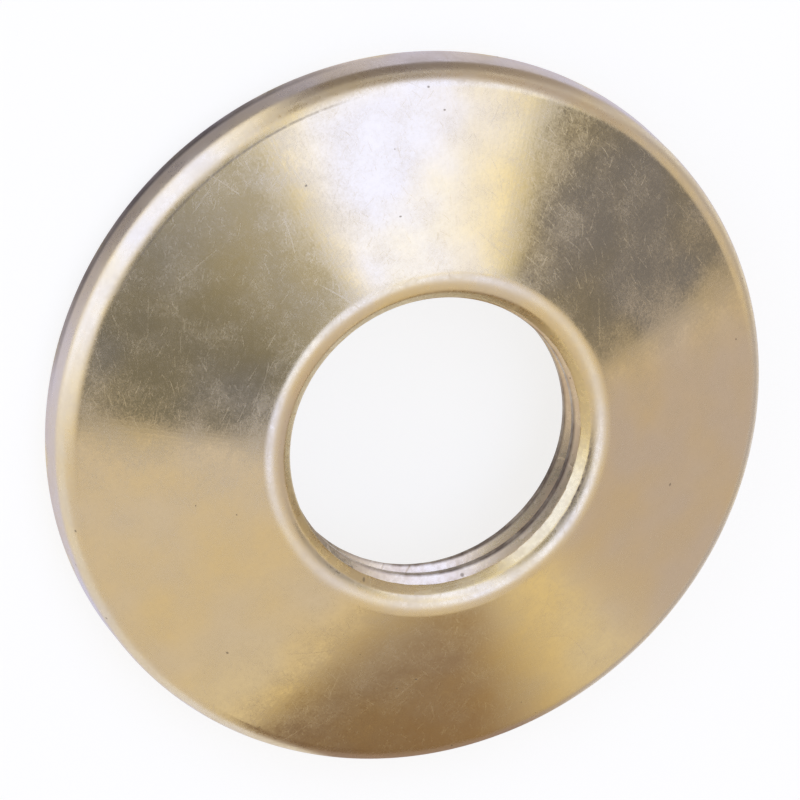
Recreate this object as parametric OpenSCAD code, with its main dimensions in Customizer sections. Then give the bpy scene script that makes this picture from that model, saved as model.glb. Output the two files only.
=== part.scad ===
// Threaded wall rosette for a tap.
// One brass shell: a flared face that bends over at the rim into a short skirt,
// and at the neck rolls down into a collar that is bored and tapped.
// The skirt's edge lies on the wall plane, z = 0, and the axis of the bore is the Z axis.

/* [Rim] */
// Outer diameter of the rim
rim_d = 47; // [44:0.5:60]
// Straight height of the skirt, from the wall plane to the bend
skirt_h = 2.2; // [1:0.1:3]
// Outside radius of the bend between skirt and flared face
rim_bend_r = 1.9; // [1.5:0.1:2.6]
// Small round on the outer corner of the skirt's edge
rim_edge_r = 0.25; // [0.1:0.05:0.5]

/* [Face] */
// Height from the wall plane to the top of the neck
height = 8.5; // [8:0.25:12]
// Thickness of the flared face and the skirt
wall_t = 1.2; // [0.8:0.1:1.3]

/* [Neck and collar] */
// Outside radius of the roll from the flared face into the bore
neck_bend_r = 1.6; // [0.8:0.1:2]
// Diameter of the tapping hole, which is the crest diameter of the thread
bore_d = 18.85; // [18.6:0.05:19.2]
// Thickness of the collar behind the bore wall
collar_t = 1.6; // [1.2:0.1:2.4]
// Length of the collar, from the top of the neck to its back end
collar_len = 4.2; // [3.4:0.1:5]
// Fillet under the face, where it meets the outside of the collar
root_fillet_r = 0.8; // [0.3:0.1:1.5]
// Width of the 45 degree lead-in at the back of the bore
lead_in = 0.3; // [0.1:0.05:0.5]
// Width of the 45 degree break on the outer corner of the collar's back end
collar_break = 0.2; // [0.1:0.05:0.4]

/* [Hidden] */
$fn = 180;

// Lap of shapes that fuse, and overrun of shapes that cut
lap = 0.2;

rim_r = rim_d / 2;
bore_r = bore_d / 2;
collar_r = bore_r + collar_t;
collar_z = height - collar_len;

// Centres of the two bends in the half section, as [radius, height]
rim_c = [rim_r - rim_bend_r, skirt_h];
neck_c = [bore_r + neck_bend_r, height - neck_bend_r];

// The flared face is the line that touches both bends from outside
centre_line = rim_c - neck_c;
face_slope = atan2(-centre_line.y, centre_line.x)
    + asin((neck_bend_r - rim_bend_r) / norm(centre_line));
face_dir = [cos(face_slope), -sin(face_slope)];

// The underside runs parallel to the face, a wall's thickness below it, and ends on a fillet
inner_bend_r = rim_bend_r - wall_t;
fillet_x = collar_r + root_fillet_r;
fillet_sink = root_fillet_r - inner_bend_r;
fillet_c = [fillet_x,
    rim_c.y - (fillet_x - rim_c.x) * tan(face_slope) - fillet_sink / cos(face_slope)];

// Area under a sloping roof: a disc at each end, the line that touches both from above,
// and upright sides that reach below the wall plane. Each piece laps the next.
module roof_area(left_c, left_r, right_c, right_r) {
    run = (right_c - left_c) * face_dir;
    drop = height + lap;
    translate(left_c) {
        circle(left_r);
        translate([-left_r, -drop]) square([left_r + lap, drop]);
        rotate(-face_slope) {
            polygon([[0, -lap], [run, left_r - right_r - lap], [run, left_r], [0, left_r]]);
            translate([run, left_r - right_r]) {
                circle(right_r);
                rotate(face_slope) translate([-lap, -drop]) square([right_r + lap, drop]);
            }
        }
    }
    polygon([[left_c.x, -lap], [right_c.x, -lap], right_c, left_c]);
}

// Everything on the wall's side of the wall plane, and the space behind the collar
module wall_side() {
    translate([0, -height - lap]) square([rim_d, height + lap]);
    translate([bore_r - lap, -lap]) square([collar_t + 2 * lap, collar_z + lap]);
}

// Corner cut at 45 degrees on the collar's back end; inward is 1 from the bore, -1 from outside
module corner_cut(x, width, inward) {
    leg = width + 2 * lap;
    translate([x - inward * lap, collar_z - lap]) polygon([[0, 0], [inward * leg, 0], [0, leg]]);
}

// Round on the outer corner of the skirt's edge, as the piece to take off
module rim_edge_cut() {
    difference() {
        translate([rim_r - rim_edge_r, -lap]) square(rim_edge_r + lap);
        translate([rim_r - rim_edge_r, rim_edge_r]) circle(rim_edge_r);
    }
}

module rosette() {
    color([0.78, 0.66, 0.4])
        rotate_extrude()
            difference() {
                roof_area(neck_c, neck_bend_r, rim_c, rim_bend_r);
                roof_area(fillet_c, root_fillet_r, rim_c, inner_bend_r);
                wall_side();
                corner_cut(bore_r, lead_in, 1);
                corner_cut(collar_r, collar_break, -1);
                rim_edge_cut();
            }
}

rosette();
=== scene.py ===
import math

import bpy
from mathutils import Matrix, Vector


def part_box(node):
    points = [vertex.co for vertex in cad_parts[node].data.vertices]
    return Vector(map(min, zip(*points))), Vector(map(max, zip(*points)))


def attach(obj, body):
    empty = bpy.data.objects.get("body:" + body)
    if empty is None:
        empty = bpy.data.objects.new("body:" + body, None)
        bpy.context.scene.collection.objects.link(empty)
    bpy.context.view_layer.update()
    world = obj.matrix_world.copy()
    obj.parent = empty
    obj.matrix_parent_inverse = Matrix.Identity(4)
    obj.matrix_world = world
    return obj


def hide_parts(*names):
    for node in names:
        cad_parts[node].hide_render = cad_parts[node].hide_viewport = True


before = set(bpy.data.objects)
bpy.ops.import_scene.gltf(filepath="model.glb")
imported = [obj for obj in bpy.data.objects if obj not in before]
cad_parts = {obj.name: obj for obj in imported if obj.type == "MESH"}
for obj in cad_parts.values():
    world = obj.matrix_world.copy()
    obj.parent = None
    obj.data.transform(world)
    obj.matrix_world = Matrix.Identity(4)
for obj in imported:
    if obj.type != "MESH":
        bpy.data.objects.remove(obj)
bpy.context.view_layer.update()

# The rosette is one shell of brass sheet, drawn to a flared cone, bent over at the rim
# into a short skirt, and rolled in at the neck into a thicker collar. The collar is bored
# and tapped with a G 1/2 right-hand pipe thread, which runs out in the roll of the neck.
MM = 0.001
rosette_low, rosette_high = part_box("rosette")
ROSETTE = {
    "Rim radius": rosette_high.x,
    "Height": rosette_high.z,
    "Skirt height": 2.2 * MM,
    "Rim bend radius": 1.9 * MM,
    "Edge round": 0.25 * MM,
    "Wall": 1.2 * MM,
    "Neck roll radius": 1.6 * MM,
    "Bore radius": 9.425 * MM,
    "Collar wall": 1.6 * MM,
    "Collar length": 4.2 * MM,
    "Root fillet": 0.8 * MM,
    "Lead-in": 0.3 * MM,
    "Collar break": 0.2 * MM,
    "Thread pitch": 1.814 * MM,
    "Thread root radius": 10.478 * MM,
    "Thread flank angle": math.radians(27.5),
    "Thread height at Y": 5.70 * MM,
    "Thread run-out height": 7.95 * MM,
    "Run-out raggedness": 0.22 * MM,
    "Mouth bevel start": math.radians(30),
    "Mouth bevel end": math.radians(58),
}
# Fineness of the mesh: steps once round the axis, and rows in one pitch of the thread
TURN_STEPS = 360
THREAD_ROWS = 36
# Reaches over which two surfaces of the bore blend where they meet
ROOT_EASE = 0.12 * MM
CREST_EASE = 0.06 * MM
BEVEL_EASE = 0.10 * MM


class Value:
    """A number in a node tree. Sums and products with it become Math nodes."""

    def __init__(self, tree, socket):
        self.tree, self.socket = tree, socket

    def math(self, operation, *others):
        node = self.tree.nodes.new("ShaderNodeMath")
        node.operation = operation
        for place, value in enumerate((self, *others)):
            if isinstance(value, Value):
                self.tree.links.new(value.socket, node.inputs[place])
            else:
                node.inputs[place].default_value = value
        return Value(self.tree, node.outputs[0])

    def __add__(self, other):
        return self.math("ADD", other)

    def __sub__(self, other):
        return self.math("SUBTRACT", other)

    def __mul__(self, other):
        return self.math("MULTIPLY", other)

    def __truediv__(self, other):
        return self.math("DIVIDE", other)

    def __neg__(self):
        return self.math("MULTIPLY", -1.0)

    def sin(self):
        return self.math("SINE")

    def cos(self):
        return self.math("COSINE")


def polar(centre, radius, angle):
    """The point of the half section at that angle and radius round a centre."""
    return centre[0] + angle.cos() * radius, centre[1] + angle.sin() * radius


def turned_strip(tree, rows, place):
    """A strip turned once round the axis: place(share, turn) gives its radius and height."""
    nodes, links = tree.nodes, tree.links
    grid = nodes.new("GeometryNodeMeshGrid")
    grid.inputs["Vertices X"].default_value = TURN_STEPS + 1
    grid.inputs["Vertices Y"].default_value = rows + 1
    flat = nodes.new("ShaderNodeSeparateXYZ")
    links.new(nodes.new("GeometryNodeInputPosition").outputs[0], flat.inputs[0])
    turn = (Value(tree, flat.outputs["X"]) + 0.5) * math.tau
    share = Value(tree, flat.outputs["Y"]) + 0.5
    radius, height = place(share, turn)
    point = nodes.new("ShaderNodeCombineXYZ")
    for axis, value in (("X", radius * turn.cos()), ("Y", radius * turn.sin()), ("Z", height)):
        links.new(value.socket, point.inputs[axis])
    shape = nodes.new("GeometryNodeSetPosition")
    links.new(grid.outputs["Mesh"], shape.inputs["Geometry"])
    links.new(point.outputs[0], shape.inputs["Position"])
    return shape.outputs["Geometry"]


def straight(start, end):
    """Place rule for a strip along a straight of the section, with its rows closest at both ends."""
    def place(share, turn):
        eased = (-((share * math.pi).cos()) + 1.0) * 0.5
        return tuple(a + (b - a) * eased for a, b in zip(start, end))
    return place


def bend(centre, radius, first, last):
    """Place rule for a strip round a bend, from the first angle to the last."""
    return lambda share, turn: polar(centre, radius, first + (last - first) * share)


def rosette_tree():
    """Geometry Nodes that turn the half section and cut the thread."""
    tree = bpy.data.node_groups.new("turned rosette with pipe thread", "GeometryNodeTree")
    face = tree.interface
    for name, size in ROSETTE.items():
        socket = face.new_socket(name, in_out="INPUT", socket_type="NodeSocketFloat")
        socket.default_value = size
    face.new_socket("Drawn finish", in_out="INPUT", socket_type="NodeSocketMaterial")
    face.new_socket("Cut finish", in_out="INPUT", socket_type="NodeSocketMaterial")
    face.new_socket("Geometry", in_out="OUTPUT", socket_type="NodeSocketGeometry")
    nodes, links = tree.nodes, tree.links
    given = nodes.new("NodeGroupInput")
    size = {name: Value(tree, given.outputs[name]) for name in ROSETTE}

    def fixed(number):
        node = nodes.new("ShaderNodeValue")
        node.outputs[0].default_value = number
        return Value(tree, node.outputs[0])

    rim, bore, wall = size["Rim radius"], size["Bore radius"], size["Wall"]
    roll, rim_bend = size["Neck roll radius"], size["Rim bend radius"]
    edge, fillet = size["Edge round"], size["Root fillet"]
    collar = bore + size["Collar wall"]
    collar_back = size["Height"] - size["Collar length"]
    lead_in, corner = size["Lead-in"], size["Collar break"]
    nothing, half_turn = fixed(0.0), fixed(math.pi)

    # Both bends touch the flared face, which sets its slope
    rim_centre = (rim - rim_bend, size["Skirt height"])
    neck_centre = (bore + roll, size["Height"] - roll)
    run, fall = rim_centre[0] - neck_centre[0], neck_centre[1] - rim_centre[1]
    apart = (run * run + fall * fall).math("SQRT")
    slope = fall.math("ARCTAN2", run) + ((roll - rim_bend) / apart).math("ARCSINE")
    square_to_face = -slope + math.pi / 2
    inner_bend = rim_bend - wall
    fillet_r = collar + fillet
    fillet_z = rim_centre[1] - (fillet_r - rim_centre[0]) * slope.math("TANGENT")
    fillet_centre = (fillet_r, fillet_z - (fillet - inner_bend) / slope.cos())

    def rippled(turn):
        """An uneven wave between -0.5 and 0.5 that closes on itself round the bore."""
        bore_in_mm, waves_a_mm = ROSETTE["Bore radius"] / MM, 0.55
        spot = nodes.new("ShaderNodeCombineXYZ")
        for axis, value in (("X", turn.cos()), ("Y", turn.sin())):
            links.new((value * bore_in_mm).socket, spot.inputs[axis])
        wave = nodes.new("ShaderNodeTexNoise")
        wave.inputs["Scale"].default_value = waves_a_mm
        wave.inputs["Detail"].default_value = 3.0
        links.new(spot.outputs[0], wave.inputs["Vector"])
        return Value(tree, wave.outputs["Fac"]) - 0.5

    # Radius of the thread at a height: a groove with straight flanks that climbs one pitch a turn,
    # on a root that takes a sixth of the pitch
    pitch = size["Thread pitch"]
    flank_run = size["Thread flank angle"].math("TANGENT")
    root_half = pitch * 0.0833

    def thread_radius(height, turn):
        climb = pitch * ((turn - math.pi / 2) / math.tau)
        phase = (height - size["Thread height at Y"] - climb) / pitch
        off_root = (phase - phase.math("ROUND")).math("ABSOLUTE") * pitch
        flank = size["Thread root radius"] - (off_root - root_half) / flank_run
        groove = flank.math("SMOOTH_MIN", size["Thread root radius"], ROOT_EASE)
        ragged = rippled(turn) * size["Run-out raggedness"]
        run_out = bore + (size["Thread run-out height"] + ragged - height)
        return groove.math("MINIMUM", run_out)

    def bored(radius, height, turn):
        return radius.math("SMOOTH_MAX", thread_radius(height, turn), CREST_EASE)

    # The tapped wall, from the collar's back to the roll's upper part, in rows that climb with the
    # thread. The rows past either end fall together and are merged.
    roll_end = math.radians(67)
    straight_end = neck_centre[1]
    top = straight_end + roll * roll_end
    row = pitch / THREAD_ROWS
    past_the_collar = 0.6 * MM
    pitches = (ROSETTE["Collar length"] + past_the_collar) / ROSETTE["Thread pitch"] + 1
    rows = int(math.ceil(pitches * THREAD_ROWS))

    # The bore's mouth is bevelled flat before it is tapped, from one angle of the roll to another
    bevel_low = polar(neck_centre, roll, half_turn - size["Mouth bevel start"])
    bevel_high = polar(neck_centre, roll, half_turn - size["Mouth bevel end"])
    bevel_lean = (bevel_high[0] - bevel_low[0]) / (bevel_high[1] - bevel_low[1])

    def tapped(share, turn):
        climb = pitch * (turn / math.tau)
        along = collar_back - pitch + share * (row * float(rows)) + climb
        along = along.math("MAXIMUM", collar_back).math("MINIMUM", top)
        rolled = ((along - straight_end) / roll).math("MAXIMUM", 0.0)
        height = along.math("MINIMUM", straight_end) + rolled.sin() * roll
        opened = (collar_back + lead_in - height).math("MAXIMUM", 0.0)
        radius = bore + roll - rolled.cos() * roll + opened
        bevel = bevel_low[0] + (height - bevel_low[1]) * bevel_lean
        return bored(radius.math("SMOOTH_MAX", bevel, BEVEL_EASE), height, turn), height

    roll_start = half_turn - roll_end

    def collar_face(share, turn):
        inner = bored(bore + lead_in, collar_back, turn)
        outer = collar - corner
        return outer + (inner - outer) * share, collar_back

    face_start = polar(neck_centre, roll, square_to_face)
    face_end = polar(rim_centre, rim_bend, square_to_face)
    under_start = polar(rim_centre, inner_bend, square_to_face)
    under_end = polar(fillet_centre, fillet, square_to_face)
    # Each strip of the section and its number of rows, from the bore out over the face and back below
    strips = [
        (rows, tapped),
        (30, bend(neck_centre, roll, roll_start, square_to_face)),
        (24, straight(face_start, face_end)),
        (30, bend(rim_centre, rim_bend, square_to_face, nothing)),
        (8, straight((rim, rim_centre[1]), (rim, edge))),
        (6, bend((rim - edge, edge), edge, nothing, -half_turn * 0.5)),
        (2, straight((rim - edge, nothing), (rim - wall, nothing))),
        (8, straight((rim - wall, nothing), (rim - wall, rim_centre[1]))),
        (12, bend(rim_centre, inner_bend, nothing, square_to_face)),
        (16, straight(under_start, under_end)),
        (12, bend(fillet_centre, fillet, square_to_face, half_turn)),
        (6, straight((collar, fillet_centre[1]), (collar, collar_back + corner))),
        (2, straight((collar, collar_back + corner), (collar - corner, collar_back))),
        (3, collar_face),
    ]
    join = nodes.new("GeometryNodeJoinGeometry")
    for count, place in strips:
        links.new(turned_strip(tree, count, place), join.inputs[0])
    weld = nodes.new("GeometryNodeMergeByDistance")
    weld.inputs["Distance"].default_value = 0.0015 * MM
    links.new(join.outputs[0], weld.inputs["Geometry"])

    outwards = nodes.new("GeometryNodeFlipFaces")
    links.new(weld.outputs["Geometry"], outwards.inputs["Mesh"])

    # Edges sharper than this stay crisp
    angle = nodes.new("GeometryNodeInputMeshEdgeAngle")
    sharp = nodes.new("FunctionNodeCompare")
    sharp.operation = "LESS_THAN"
    sharp.inputs["B"].default_value = math.radians(35)
    links.new(angle.outputs["Unsigned Angle"], sharp.inputs["A"])
    smooth = nodes.new("GeometryNodeSetShadeSmooth")
    smooth.domain = "EDGE"
    links.new(outwards.outputs["Mesh"], smooth.inputs["Geometry"])
    links.new(sharp.outputs["Result"], smooth.inputs["Shade Smooth"])
    real = nodes.new("GeometryNodeRealizeInstances")
    links.new(smooth.outputs["Geometry"], real.inputs["Geometry"])
    drawn = nodes.new("GeometryNodeSetMaterial")
    links.new(real.outputs["Geometry"], drawn.inputs["Geometry"])
    links.new(given.outputs["Drawn finish"], drawn.inputs["Material"])

    # The tap and the bevel leave bare cut metal inside the collar, up to the bevel's upper edge
    spot = nodes.new("ShaderNodeSeparateXYZ")
    links.new(nodes.new("GeometryNodeInputPosition").outputs[0], spot.inputs[0])
    x, y, height = (Value(tree, spot.outputs[axis]) for axis in "XYZ")
    inside = (x * x + y * y).math("SQRT").math("LESS_THAN", collar - size["Collar wall"] * 0.3)
    below = height.math("LESS_THAN", bevel_high[1])
    cut = nodes.new("GeometryNodeSetMaterial")
    links.new(drawn.outputs["Geometry"], cut.inputs["Geometry"])
    links.new((inside * below).socket, cut.inputs["Selection"])
    links.new(given.outputs["Cut finish"], cut.inputs["Material"])
    done = nodes.new("NodeGroupOutput")
    links.new(cut.outputs["Geometry"], done.inputs["Geometry"])
    return tree


def effect(name, sizes, result):
    """A new shader group with named sizes, which puts out one value over the surface."""
    tree = bpy.data.node_groups.new(name, "ShaderNodeTree")
    for title, size in sizes.items():
        socket = tree.interface.new_socket(title, in_out="INPUT", socket_type="NodeSocketFloat")
        socket.default_value = size
    tree.interface.new_socket(result, in_out="OUTPUT", socket_type="NodeSocketFloat")
    given = tree.nodes.new("NodeGroupInput")
    return tree, {title: Value(tree, given.outputs[title]) for title in sizes}


def put_out(tree, value):
    """The finished group, with the value as what it puts out."""
    tree.links.new(value.socket, tree.nodes.new("NodeGroupOutput").inputs[0])
    return tree


def place_in_mm(tree):
    """The surface point's x, y and z on the piece, in millimetres, and its distance from the axis."""
    spot = tree.nodes.new("ShaderNodeSeparateXYZ")
    tree.links.new(tree.nodes.new("ShaderNodeTexCoord").outputs["Object"], spot.inputs[0])
    x, y, z = (Value(tree, spot.outputs[axis]) * (1 / MM) for axis in "XYZ")
    return x, y, z, (x * x + y * y).math("SQRT")


def vector(tree, x, y, z=0.0):
    """A point from three numbers."""
    node = tree.nodes.new("ShaderNodeCombineXYZ")
    for socket, value in zip(node.inputs, (x, y, z)):
        if isinstance(value, Value):
            tree.links.new(value.socket, socket)
        else:
            socket.default_value = value
    return node.outputs[0]


def clipped(value):
    """The value, kept between 0 and 1."""
    return value.math("MAXIMUM", 0.0).math("MINIMUM", 1.0)


def noise(tree, where):
    """Smooth noise at a point, and the node that makes it."""
    node = tree.nodes.new("ShaderNodeTexNoise")
    node.inputs["Scale"].default_value = 1.0
    node.inputs["Detail"].default_value = 2.0
    node.inputs["Roughness"].default_value = 0.5
    tree.links.new(where, node.inputs["Vector"])
    return Value(tree, node.outputs["Fac"]), node


def clouding():
    """Soft patches of a given size, from 0 to 1."""
    sizes = {"Patch mm": 3.0, "Detail": 3.0, "Contrast": 3.0, "Shift": 0.0}
    tree, size = effect("clouding", sizes, "Cloud")
    x, y, z, _ = place_in_mm(tree)
    patch, shift = size["Patch mm"], size["Shift"]
    soft, node = noise(tree, vector(tree, x / patch + shift, y / patch - shift, z / patch))
    tree.links.new(size["Detail"].socket, node.inputs["Detail"])
    return put_out(tree, clipped((soft - 0.5) * size["Contrast"] + 0.5))


def cells(tree, size):
    """An uneven net over the face: its node, the point's place in it, and three numbers a cell."""
    x, y, z, radius = place_in_mm(tree)
    # The height counts too, so that the net stretches less on the steep skirt and bore
    laid_flat = (radius - z * 0.6) / radius.math("MAXIMUM", 1.0) / size["Spacing mm"]
    where = vector(tree, x * laid_flat + size["Shift"], y * laid_flat - size["Shift"])
    cell = tree.nodes.new("ShaderNodeTexVoronoi")
    cell.voronoi_dimensions = "2D"
    cell.inputs["Scale"].default_value = 1.0
    tree.links.new(where, cell.inputs["Vector"])
    chance = tree.nodes.new("ShaderNodeSeparateColor")
    tree.links.new(cell.outputs["Color"], chance.inputs[0])
    return cell, where, [Value(tree, chance.outputs[name]) for name in ("Red", "Green", "Blue")]


def hairlines():
    """Single fine scratches, one in each cell of the net."""
    sizes = {"Spacing mm": 1.0, "Length mm": 1.0, "Width mm": 0.04, "Lean": 0.9, "Spread": 1.2,
             "Share": 0.5, "Shift": 0.0}
    tree, size = effect("hairline scratches", sizes, "Scratch")
    nodes, links = tree.nodes, tree.links
    cell, where, (turn, pick, vary) = cells(tree, size)
    off = nodes.new("ShaderNodeVectorMath")
    off.operation = "SUBTRACT"
    links.new(where, off.inputs[0])
    links.new(cell.outputs["Position"], off.inputs[1])
    flat = nodes.new("ShaderNodeSeparateXYZ")
    links.new(off.outputs[0], flat.inputs[0])
    dx, dy = Value(tree, flat.outputs["X"]), Value(tree, flat.outputs["Y"])
    angle = size["Lean"] + (turn - 0.5) * size["Spread"]
    along = dx * angle.cos() + dy * angle.sin()
    across = dy * angle.cos() - dx * angle.sin() + along * along * (vary - 0.5) * 0.25
    reach = size["Length mm"] / size["Spacing mm"] * 0.5 * (vary * 0.7 + 0.3)
    off_line = across.math("ABSOLUTE") * size["Spacing mm"] / size["Width mm"]
    body = (-off_line + 1.0).math("MAXIMUM", 0.0)
    ends = clipped((-(along.math("ABSOLUTE") / reach) + 1.0) * 3.0)
    kept = pick.math("LESS_THAN", size["Share"])
    return put_out(tree, body.math("SQRT") * ends * kept * (vary * 0.6 + 0.4))


def specks():
    """Scattered round specks of dirt or tarnish."""
    sizes = {"Spacing mm": 2.0, "Size mm": 0.15, "Share": 0.3, "Shift": 0.0}
    tree, size = effect("specks", sizes, "Speck")
    cell, _, (_, pick, vary) = cells(tree, size)
    distance = Value(tree, cell.outputs["Distance"]) * size["Spacing mm"]
    near = -(distance / (size["Size mm"] * (vary + 0.3))) + 1.0
    return put_out(tree, clipped(near * 2.0) * pick.math("LESS_THAN", size["Share"]))


def turning_lines():
    """Fine rings that a lathe tool, a tap or a drawing die leaves round the axis."""
    tree, size = effect("turning lines", {"Line mm": 0.06, "Run mm": 12.0, "Shift": 0.0}, "Line")
    x, y, z, radius = place_in_mm(tree)
    line, run = size["Line mm"], size["Run mm"]
    typical_radius = 10.0
    across = (radius + z) / line + size["Shift"]
    round_x, round_y = (side / radius / run * typical_radius for side in (x, y))
    rings, _ = noise(tree, vector(tree, round_x, round_y, across))
    return put_out(tree, rings)


CLOUDING = clouding()
HAIRLINES = hairlines()
SPECKS = specks()
TURNING_LINES = turning_lines()


def laid_on(tree, group, **sizes):
    """One of the effects in a material, with this material's own sizes."""
    node = tree.nodes.new("ShaderNodeGroup")
    node.node_tree = group
    for title, size in sizes.items():
        node.inputs[title.replace("_", " ")].default_value = size
    return Value(tree, node.outputs[0])


def tint(tree, share, first, second):
    """A colour that goes from the first to the second with the share."""
    mix = tree.nodes.new("ShaderNodeMix")
    mix.data_type = "RGBA"
    tree.links.new(share.socket, mix.inputs["Factor"])
    start, end = (socket for socket in mix.inputs if socket.type == "RGBA")
    for socket, colour in ((start, first), (end, second)):
        if isinstance(colour, tuple):
            socket.default_value = (*colour, 1)
        else:
            tree.links.new(colour, socket)
    return next(socket for socket in mix.outputs if socket.type == "RGBA")


def between(value, low, high, soft):
    """1 where the value lies between low and high, falling off over the soft width outside them."""
    return clipped((value - (low - soft)) / soft) * clipped((-value + (high + soft)) / soft)


def round_side(x, y, radius, azimuth, half_width, soft):
    """1 on the side of the rosette that faces the azimuth, in degrees."""
    a = math.radians(azimuth)
    facing = (x * math.cos(a) + y * math.sin(a)) / radius
    edge, far = math.cos(math.radians(half_width)), math.cos(math.radians(half_width + soft))
    return clipped((facing - far) / (edge - far))


def pressed(tree, shader, height_mm):
    """Bump from a height in millimetres."""
    bump = tree.nodes.new("ShaderNodeBump")
    bump.inputs["Distance"].default_value = MM
    tree.links.new(height_mm.socket, bump.inputs["Height"])
    tree.links.new(bump.outputs["Normal"], shader.inputs["Normal"])


def drawn_brass():
    """Bare drawn brass, satin, clouded by handling, with hairline scratches, a few stain marks, and
    painted shade along the skirt's foot.
    """
    finish = bpy.data.materials.new("drawn brass")
    finish.use_nodes = True
    tree = finish.node_tree
    shader = tree.nodes["Principled BSDF"]
    shader.inputs["Metallic"].default_value = 1.0
    x, y, z, radius = place_in_mm(tree)

    patches = laid_on(tree, CLOUDING, Patch_mm=6.5, Detail=2.0, Contrast=4.0, Shift=3.1)
    haze = laid_on(tree, CLOUDING, Patch_mm=2.2, Detail=4.0, Contrast=3.2, Shift=7.7)
    mottle = laid_on(tree, CLOUDING, Patch_mm=0.32, Detail=4.0, Contrast=1.9, Shift=1.9)
    grain = laid_on(tree, CLOUDING, Patch_mm=0.12, Detail=1.0, Contrast=2.0, Shift=5.5)
    fine = laid_on(tree, HAIRLINES, Spacing_mm=0.30, Length_mm=0.50, Width_mm=0.030,
                   Lean=1.0, Spread=1.6, Share=0.6)
    middle = laid_on(tree, HAIRLINES, Spacing_mm=0.75, Length_mm=1.15, Width_mm=0.036,
                     Lean=0.9, Spread=1.5, Share=0.55, Shift=4.3)
    long = laid_on(tree, HAIRLINES, Spacing_mm=2.9, Length_mm=4.2, Width_mm=0.036,
                   Lean=0.8, Spread=2.6, Share=0.4, Shift=2.2)
    scratches = (fine * 0.6).math("MAXIMUM", middle * 0.9).math("MAXIMUM", long)
    rings = laid_on(tree, TURNING_LINES, Line_mm=0.16, Run_mm=9.0)
    dirt = laid_on(tree, SPECKS, Spacing_mm=1.9, Size_mm=0.09, Share=0.06)

    # Both bends are duller than the face, where the sheet slid over the die
    face_from, face_to = 11.9, 22.35
    worked = clipped((radius - face_to) * 2.5).math("MAXIMUM", clipped((-radius + face_from) * 1.4))

    # The inside of the shell was never polished: it lies under a line through the wall's middle
    fall_of_face, middle_of_wall, collar_wall, skirt_wall = 0.4138, 12.55, 10.7, 22.36
    inside = (z + radius * fall_of_face).math("LESS_THAN", middle_of_wall)
    inside = inside * radius.math("GREATER_THAN", collar_wall) * radius.math("LESS_THAN", skirt_wall)

    # A dull crease where the face meets the bend, on one side
    crease = between(radius, 22.41, 22.46, 0.08) * round_side(x, y, radius, -90, 14, 16)
    crease = crease * z.math("GREATER_THAN", 3.6)
    crease = crease * (mottle * 1.0 + 0.3).math("MINIMUM", 1.0)
    # Painted shade along the foot of the skirt, darkest on the same side, standing in for the contact
    # shadow on the sheet that the skirt mirrors
    shade_at_foot = between(z, -1.0, 0.75, 0.35) * radius.math("GREATER_THAN", 23.2)
    shade_at_foot = shade_at_foot * (round_side(x, y, radius, -84, 12, 26) * 0.8 + 0.05) * (haze * 0.2 + 0.8)
    # A rubbed ring beside the neck, and a brown streak on the bevel's upper edge
    rubbed = between(radius, 12.0, 12.3, 0.7) * round_side(x, y, radius, -55, 8, 28)
    rubbed = rubbed * z.math("GREATER_THAN", 7.3)
    streak = between(radius, 10.14, 10.30, 0.10) * z.math("GREATER_THAN", 8.0)
    streak = streak * round_side(x, y, radius, 119, 6, 16) * (mottle * 1.4 - 0.1).math("MAXIMUM", 0.0)

    yellow, pale, dulled = (0.905, 0.735, 0.435), (0.85, 0.735, 0.56), (0.70, 0.60, 0.46)
    unpolished, stain_and_shade_brown = (0.50, 0.38, 0.22), (0.12, 0.09, 0.075)
    metal = tint(tree, patches, yellow, pale)
    metal = tint(tree, haze * 0.20 + mottle * 0.22, metal, dulled)
    metal = tint(tree, inside * (haze * 0.30 + rings * 0.45 + 0.25), metal, unpolished)
    # One dark brown carries the crease, the streak and the dirt specks, and also the painted shade at the
    # skirt's foot
    stain_and_shade_mask = (crease * 0.55).math("MAXIMUM", shade_at_foot)
    stain_and_shade_mask = stain_and_shade_mask.math("MAXIMUM", streak * 0.9).math("MAXIMUM", dirt * 0.6)
    metal = tint(tree, stain_and_shade_mask.math("MINIMUM", 0.92), metal, stain_and_shade_brown)
    tree.links.new(metal, shader.inputs["Base Color"])

    rough = haze * 0.11 + mottle * 0.09 + grain * 0.10 + 0.035
    rough = rough + scratches * 0.15 + rubbed * 0.07 + worked * 0.13
    rough = rough + inside * (haze * 0.15 + 0.2) + stain_and_shade_mask * 0.25
    tree.links.new(rough.math("MINIMUM", 0.7).socket, shader.inputs["Roughness"])

    waves = laid_on(tree, CLOUDING, Patch_mm=4.2, Detail=1.0, Contrast=1.0, Shift=9.4)
    height = waves * 0.014 + mottle * 0.0006 + grain * 0.0003 + rings * (inside * 0.004 + 0.0003)
    pressed(tree, shader, height)
    return finish


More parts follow.
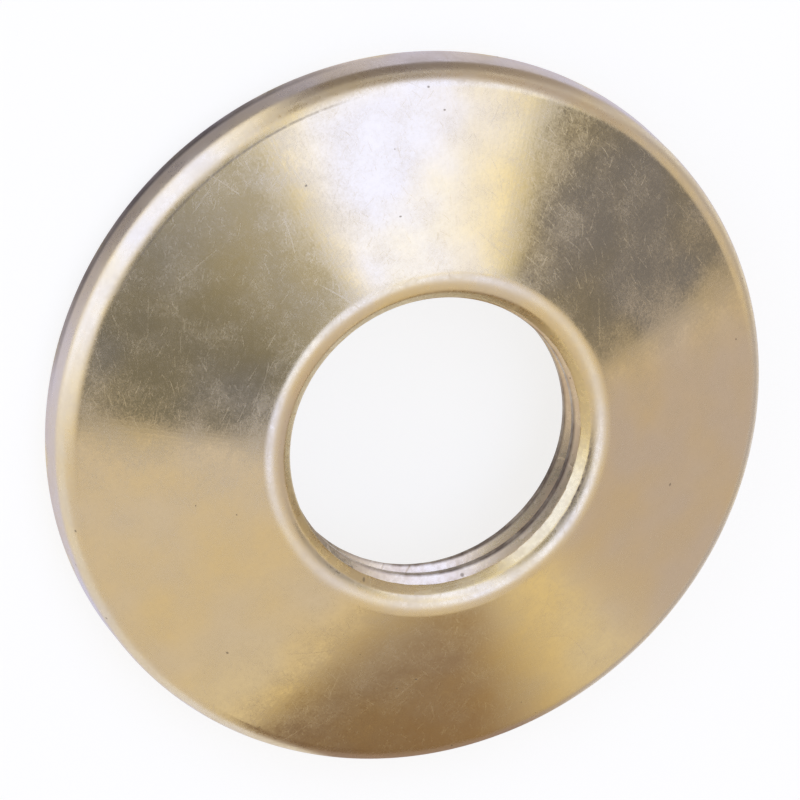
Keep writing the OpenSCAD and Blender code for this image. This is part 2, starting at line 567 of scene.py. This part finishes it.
def cut_brass():
    """Brass as the tap leaves it: fine lines round the bore, dull crests with painted shade and specks of
    dirt, bright flanks.
    """
    finish = bpy.data.materials.new("cut brass")
    finish.use_nodes = True
    tree = finish.node_tree
    shader = tree.nodes["Principled BSDF"]
    shader.inputs["Metallic"].default_value = 1.0
    x, y, z, radius = place_in_mm(tree)

    haze = laid_on(tree, CLOUDING, Patch_mm=1.3, Detail=4.0, Contrast=3.2, Shift=6.1)
    mottle = laid_on(tree, CLOUDING, Patch_mm=0.3, Detail=3.0, Contrast=3.0, Shift=2.7)
    lines = laid_on(tree, TURNING_LINES, Line_mm=0.05, Run_mm=5.0, Shift=3.0)
    nicks = laid_on(tree, HAIRLINES, Spacing_mm=0.8, Length_mm=0.9, Width_mm=0.05,
                    Lean=0.3, Spread=3.0, Share=0.5, Shift=6.6)
    dirt = laid_on(tree, SPECKS, Spacing_mm=0.8, Size_mm=0.09, Share=0.12, Shift=1.3)

    # Painted shade on the crests, darkest on one side of the bore, with specks of dirt mixed in
    crest_to, thread_to = 9.58, 7.35
    crest = clipped((-radius + crest_to) * 8.0) * z.math("LESS_THAN", thread_to)
    crest_shade_and_dirt = crest * (round_side(x, y, radius, 92, 26, 40) * 0.55 + 0.3) * (haze * 0.4 + 0.75)
    crest_shade_and_dirt = crest_shade_and_dirt.math("MAXIMUM", dirt * 0.5).math("MINIMUM", 0.9)

    pale, rosy, golden = (0.86, 0.74, 0.58), (0.80, 0.66, 0.52), (0.87, 0.725, 0.43)
    dulled, shade_and_dirt_brown = (0.62, 0.50, 0.36), (0.10, 0.07, 0.055)
    metal = tint(tree, haze, pale, rosy)
    metal = tint(tree, between(z, 7.7, 9.0, 0.3), metal, golden)
    metal = tint(tree, mottle * 0.25, metal, dulled)
    metal = tint(tree, crest_shade_and_dirt, metal, shade_and_dirt_brown)
    tree.links.new(metal, shader.inputs["Base Color"])

    rough = haze * 0.10 + mottle * 0.08 + lines * 0.10 + 0.15 + nicks * 0.2 + crest_shade_and_dirt * 0.2
    tree.links.new(rough.math("MINIMUM", 0.7).socket, shader.inputs["Roughness"])
    pressed(tree, shader, lines * 0.0025 + mottle * 0.0015 - nicks * 0.003)
    return finish


def baked(name, tree, finishes):
    """The tree's result as a plain mesh object at the origin."""
    seed = bpy.data.objects.new(name + "_seed", bpy.data.meshes.new(name + "_seed"))
    bpy.context.scene.collection.objects.link(seed)
    modifier = seed.modifiers.new("shape", "NODES")
    modifier.node_group = tree
    for socket in tree.interface.items_tree:
        if socket.in_out == "INPUT" and socket.name in finishes:
            modifier[socket.identifier] = finishes[socket.name]
    bpy.context.view_layer.update()
    evaluated = seed.evaluated_get(bpy.context.evaluated_depsgraph_get())
    mesh = bpy.data.meshes.new_from_object(evaluated)
    mesh.name = name
    seed.modifiers.remove(modifier)
    bpy.data.objects.remove(seed)
    piece = bpy.data.objects.new(name, mesh)
    bpy.context.scene.collection.objects.link(piece)
    return piece


finishes = {"Drawn finish": drawn_brass(), "Cut finish": cut_brass()}
rosette = baked("threaded_rosette", rosette_tree(), finishes)
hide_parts("rosette")
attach(rosette, "root")

# The table is a plain round sheet of white paper, far wider than the rosette, which lies
# loose on it with its rim down. It has one side, so that the rosette's back can be looked
# at from below.
SHEET_RADIUS = 3.0
SHEET_CORNERS = 64


def sheet_of_paper():
    """White paper: white to the camera, a little deeper in the metal, with a soft shadow."""
    finish = bpy.data.materials.new("white paper")
    finish.use_nodes = True
    tree = finish.node_tree
    nodes, links = tree.nodes, tree.links
    nodes.clear()
    path = nodes.new("ShaderNodeLightPath")
    to_camera = Value(tree, path.outputs["Is Camera Ray"])
    mirrored = Value(tree, path.outputs["Is Glossy Ray"])
    mirrored = mirrored.math("MAXIMUM", Value(tree, path.outputs["Is Transmission Ray"]))
    # Where the paper glows, its own white is taken down, so that the shadow on it stays soft
    paper_white, less_to_camera, less_mirrored = 0.75, 0.48, 0.20
    glow_to_camera, glow_mirrored = 0.785, 0.42
    own_white = to_camera * -less_to_camera + mirrored * -less_mirrored + paper_white
    paper = nodes.new("ShaderNodeBsdfDiffuse")
    links.new(own_white.socket, paper.inputs["Color"])
    glow = nodes.new("ShaderNodeEmission")
    glowing = to_camera * glow_to_camera + mirrored * glow_mirrored
    links.new(glowing.socket, glow.inputs["Strength"])
    lit = nodes.new("ShaderNodeAddShader")
    links.new(paper.outputs[0], lit.inputs[0])
    links.new(glow.outputs[0], lit.inputs[1])
    through = nodes.new("ShaderNodeBsdfTransparent")
    side = nodes.new("ShaderNodeNewGeometry")
    one_sided = nodes.new("ShaderNodeMixShader")
    links.new(side.outputs["Backfacing"], one_sided.inputs[0])
    links.new(lit.outputs[0], one_sided.inputs[1])
    links.new(through.outputs[0], one_sided.inputs[2])
    out = nodes.new("ShaderNodeOutputMaterial")
    links.new(one_sided.outputs[0], out.inputs["Surface"])
    return finish


circle = [math.tau * i / SHEET_CORNERS for i in range(SHEET_CORNERS)]
corners = [(SHEET_RADIUS * math.cos(a), SHEET_RADIUS * math.sin(a), 0) for a in circle]
table_mesh = bpy.data.meshes.new("table")
table_mesh.from_pydata(corners, [], [range(SHEET_CORNERS)])
table_mesh.materials.append(sheet_of_paper())
table = bpy.data.objects.new("table", table_mesh)
bpy.context.scene.collection.objects.link(table)

# The studio is a plain warm grey room with two large softboxes, and flags and boards that
# stand where a metal dish needs something to mirror. Camera rays see only the white sheet.


def soft_edges():
    """Shader group: how much of a card's light is left near each of its four edges."""
    edges = {"Left": 0.1, "Right": 0.1, "Low": 0.1, "Top": 0.1}
    tree, width = effect("soft edges", edges, "Cover")
    spot = tree.nodes.new("ShaderNodeSeparateXYZ")
    tree.links.new(tree.nodes.new("ShaderNodeUVMap").outputs[0], spot.inputs[0])
    across, up = Value(tree, spot.outputs["X"]), Value(tree, spot.outputs["Y"])
    cover = None
    for edge, inside in (("Left", across), ("Right", -across + 1.0), ("Low", up), ("Top", -up + 1.0)):
        part = (inside / width[edge]).math("MINIMUM", 1.0)
        part = part * part * (part * -2.0 + 3.0)
        cover = part if cover is None else cover * part
    return put_out(tree, cover)


SOFT_EDGES = soft_edges()


def card_finish(name, centre, soft, edge, blend):
    """A glowing card that fades out over its soft edges, and takes on the edge's colour over the blend."""
    finish = bpy.data.materials.new(name)
    finish.use_nodes = True
    finish.cycles.emission_sampling = "NONE"
    tree = finish.node_tree
    shader = tree.nodes["Principled BSDF"]
    shader.inputs["Base Color"].default_value = (0, 0, 0, 1)
    shader.inputs["Specular IOR Level"].default_value = 0.0
    shader.inputs["Emission Strength"].default_value = 1.0
    edges = ("Left", "Right", "Low", "Top")
    tree.links.new(laid_on(tree, SOFT_EDGES, **dict(zip(edges, soft))).socket, shader.inputs["Alpha"])
    if edge:
        inner = laid_on(tree, SOFT_EDGES, **dict(zip(edges, blend)))
        tree.links.new(tint(tree, inner, edge, centre), shader.inputs["Emission Color"])
    else:
        shader.inputs["Emission Color"].default_value = (*centre, 1)
    return finish


def card(name, place, centre, soft, edge=None, blend=None, near=False):
    """A curved card: place(across, up) gives its points. A near one lights nothing but the metal.

    The soft widths and the blend are shares of the card, at its left, right, low and top edge.
    """
    across, up = 20, 12
    row = across + 1
    points = [place(i / across, j / up) for j in range(up + 1) for i in range(row)]
    first = [j * row + i for j in range(up) for i in range(across)]
    faces = [(corner, corner + 1, corner + row + 1, corner + row) for corner in first]
    mesh = bpy.data.meshes.new(name)
    mesh.from_pydata(points, [], faces)
    layer = mesh.uv_layers.new(name="UVMap")
    for loop, uv in zip(mesh.loops, layer.data):
        uv.uv = (loop.vertex_index % row / across, loop.vertex_index // row / up)
    mesh.materials.append(card_finish(name, centre, soft, edge, blend))
    sheet = bpy.data.objects.new(name, mesh)
    bpy.context.scene.collection.objects.link(sheet)
    sheet.visible_camera = False
    sheet.visible_shadow = not near
    sheet.visible_diffuse = not near


def in_the_sky(corners, distance):
    """Place rule for a card with its corners in four directions: low left and right, high right and left.

    A direction is an azimuth and an elevation in degrees.
    """
    def place(across, up):
        low = [a + (b - a) * across for a, b in zip(corners[0], corners[1])]
        high = [a + (b - a) * across for a, b in zip(corners[3], corners[2])]
        azimuth, elevation = (math.radians(a + (b - a) * up) for a, b in zip(low, high))
        flat = math.cos(elevation) * distance
        return flat * math.cos(azimuth), flat * math.sin(azimuth), math.sin(elevation) * distance
    return place


def leaning(low, top, radius, bottom, height):
    """Place rule for an upright board whose left and right edges lean, from low to top azimuths."""
    def place(across, up):
        first, last = (a + (b - a) * up for a, b in zip(low, top))
        azimuth = math.radians(first + (last - first) * across)
        return radius * math.cos(azimuth), radius * math.sin(azimuth), bottom + (height - bottom) * up
    return place


def on_the_sheet(first, last, inner, outer, height):
    """Place rule for a flat ring piece that lies on the sheet beside the rim."""
    def place(across, up):
        azimuth, radius = math.radians(first + (last - first) * across), inner + (outer - inner) * up
        return radius * math.cos(azimuth), radius * math.sin(azimuth), height
    return place


# The soft width of an edge that is to look hard
HARD = 0.01
SOFTBOX, SOFTBOX_EDGE = (1.13, 1.29, 1.90), (1.03, 0.96, 0.64)
card("softbox_high", in_the_sky([(-196, 32), (-112, 22), (-112, 88), (-196, 88)], 0.80),
     SOFTBOX, (0.03, 0.04, 0.12, 0.03), SOFTBOX_EDGE, (0.42, 0.30, HARD, HARD))
card("softbox_low", in_the_sky([(-112, 0), (-16, 0), (-16, 44), (-112, 44)], 0.80),
     SOFTBOX, (0.06, 0.2, HARD, 0.15), SOFTBOX_EDGE, (0.15, 0.4, HARD, 0.4))
card("ceiling", in_the_sky([(-180, 54), (180, 54), (180, 90), (-180, 90)], 0.90),
     (0.98, 0.99, 1.08), (HARD, HARD, 0.5, HARD))
card("softbox_top", in_the_sky([(-180, 65), (180, 65), (180, 90), (-180, 90)], 0.85),
     SOFTBOX, (HARD, HARD, 0.25, HARD))
card("flag_middle", in_the_sky([(-120, 36), (-23, 36), (9, 82), (-120, 82)], 0.60),
     (0.20, 0.20, 0.20), (0.07, 0.04, 0.35, 0.12), (0.50, 0.485, 0.42), (0.75, HARD, HARD, HARD))
card("flag_right", in_the_sky([(129, 22), (171, 22), (175, 53), (130, 53)], 0.60),
     (0.21, 0.205, 0.215), (0.10, 0.06, 0.3, 0.2))
card("grey_board", in_the_sky([(88, 0), (133, 0), (133, 46), (88, 46)], 0.65),
     (0.585, 0.51, 0.47), (0.2, 0.2, HARD, 0.2))
card("flag_low", in_the_sky([(-156, 0), (-109, 0), (-109, 29), (-156, 29)], 0.50),
     (0.36, 0.325, 0.30), (0.15, 0.1, HARD, 0.2), near=True)
card("flag_far_left", in_the_sky([(-196, 0), (-151, 0), (-151, 24), (-196, 36)], 0.52),
     (0.48, 0.42, 0.40), (0.1, 0.1, HARD, 0.2), near=True)

BROWN, BROWN_EDGE = (0.215, 0.145, 0.10), (0.34, 0.24, 0.155)
card("gold_board", leaning((27, 92), (27, 92), 64 * MM, 0, 44 * MM),
     (0.77, 0.67, 0.46), (0.06, 0.05, HARD, 0.35), near=True)
card("brown_board", leaning((35, 88), (35, 86), 58 * MM, 0, 21 * MM),
     BROWN, (0.04, 0.35, HARD, HARD), BROWN_EDGE, (HARD, 0.8, HARD, HARD), near=True)
card("brown_board_top", leaning((35, 86), (57, 76), 58 * MM, 21 * MM, 40 * MM),
     BROWN, (0.04, 0.35, HARD, 1.0), BROWN_EDGE, (HARD, 0.8, HARD, 0.9), near=True)
# Painted shadow: two rings on the sheet beside the rim, seen only in the metal, stand in for the sheet's
# contact shadow round the rim. The darker ring lies on one side.
card("painted_shade_by_the_rim", on_the_sheet(-180, 180, 23.7 * MM, 26 * MM, 0.05 * MM),
     (0.68, 0.70, 0.98), (HARD, HARD, HARD, 0.5), near=True)
card("painted_shadow_by_the_rim", on_the_sheet(-135, -48, 23.7 * MM, 26 * MM, 0.09 * MM),
     (0.26, 0.25, 0.31), (0.45, 0.4, HARD, 0.5), near=True)
card("brown_mat_back", on_the_sheet(-180, -102, 24.3 * MM, 70 * MM, 0.08 * MM),
     (0.23, 0.205, 0.22), (0.3, 0.2, 0.02, 0.6),
     (0.5, 0.45, 0.45), (0.7, HARD, HARD, HARD), near=True)
card("white_mat", on_the_sheet(-113, -30, 24.6 * MM, 160 * MM, 0.06 * MM),
     SOFTBOX, (0.08, 0.25, 0.02, 0.15), (1.0, 0.98, 0.92), (0.3, 0.4, 0.03, HARD), near=True)
card("brown_mat_front", on_the_sheet(37, 84, 23.7 * MM, 58 * MM, 0.07 * MM),
     (0.34, 0.26, 0.25), (0.1, 0.3, HARD, HARD), near=True)
card("grey_mat_right", on_the_sheet(68, 190, 27 * MM, 130 * MM, 0.055 * MM),
     (0.49, 0.46, 0.48), (0.1, 0.1, 0.06, 0.2), near=True)

WARM_GREY = (0.71, 0.635, 0.53, 1)
room = bpy.data.worlds.new("room")
bpy.context.scene.world = room
room.use_nodes = True
tree = room.node_tree
tree.nodes.clear()
grey = tree.nodes.new("ShaderNodeBackground")
grey.inputs["Color"].default_value = WARM_GREY
white = tree.nodes.new("ShaderNodeBackground")
path = tree.nodes.new("ShaderNodeLightPath")
either = tree.nodes.new("ShaderNodeMixShader")
tree.links.new(path.outputs["Is Camera Ray"], either.inputs[0])
tree.links.new(grey.outputs[0], either.inputs[1])
tree.links.new(white.outputs[0], either.inputs[2])
sky = tree.nodes.new("ShaderNodeOutputWorld")
tree.links.new(either.outputs[0], sky.inputs["Surface"])
bpy.context.scene.view_settings.view_transform = "Standard"

# The camera stands where the photograph's outlines put it: 27 degrees off the rosette's axis,
# well back with a long lens, and turned in the hand.
TILT = math.radians(26.88)
ROLL = math.radians(47.59)
PIXELS = 800
RIM_RADIUS_IN_PIXELS = 368.45
PIXELS_PER_METRE = RIM_RADIUS_IN_PIXELS / rosette_high.x
AXIS_AT = (398.01, 400.43)
RIM_RADIUS_TO_DISTANCE = 0.03
CAMERA_DISTANCE = rosette_high.x / RIM_RADIUS_TO_DISTANCE
SENSOR = 36.0

to_camera = Vector((0, -math.sin(TILT), math.cos(TILT)))
along = Vector((0, math.cos(TILT), math.sin(TILT)))
across = Vector((1, 0, 0))
right = along * math.cos(ROLL) - across * math.sin(ROLL)
down = along * math.sin(ROLL) + across * math.cos(ROLL)
offset = right * (PIXELS / 2 - AXIS_AT[0]) + down * (PIXELS / 2 - AXIS_AT[1])
lens = bpy.data.cameras.new("camera")
lens.sensor_width = SENSOR
lens.lens = PIXELS_PER_METRE * CAMERA_DISTANCE / PIXELS * SENSOR
camera = bpy.data.objects.new("camera", lens)
bpy.context.scene.collection.objects.link(camera)
place = to_camera * CAMERA_DISTANCE + offset / PIXELS_PER_METRE
turned = Matrix((right, -down, to_camera)).transposed()
camera.matrix_world = Matrix.Translation(place) @ turned.to_4x4()
bpy.context.scene.camera = camera
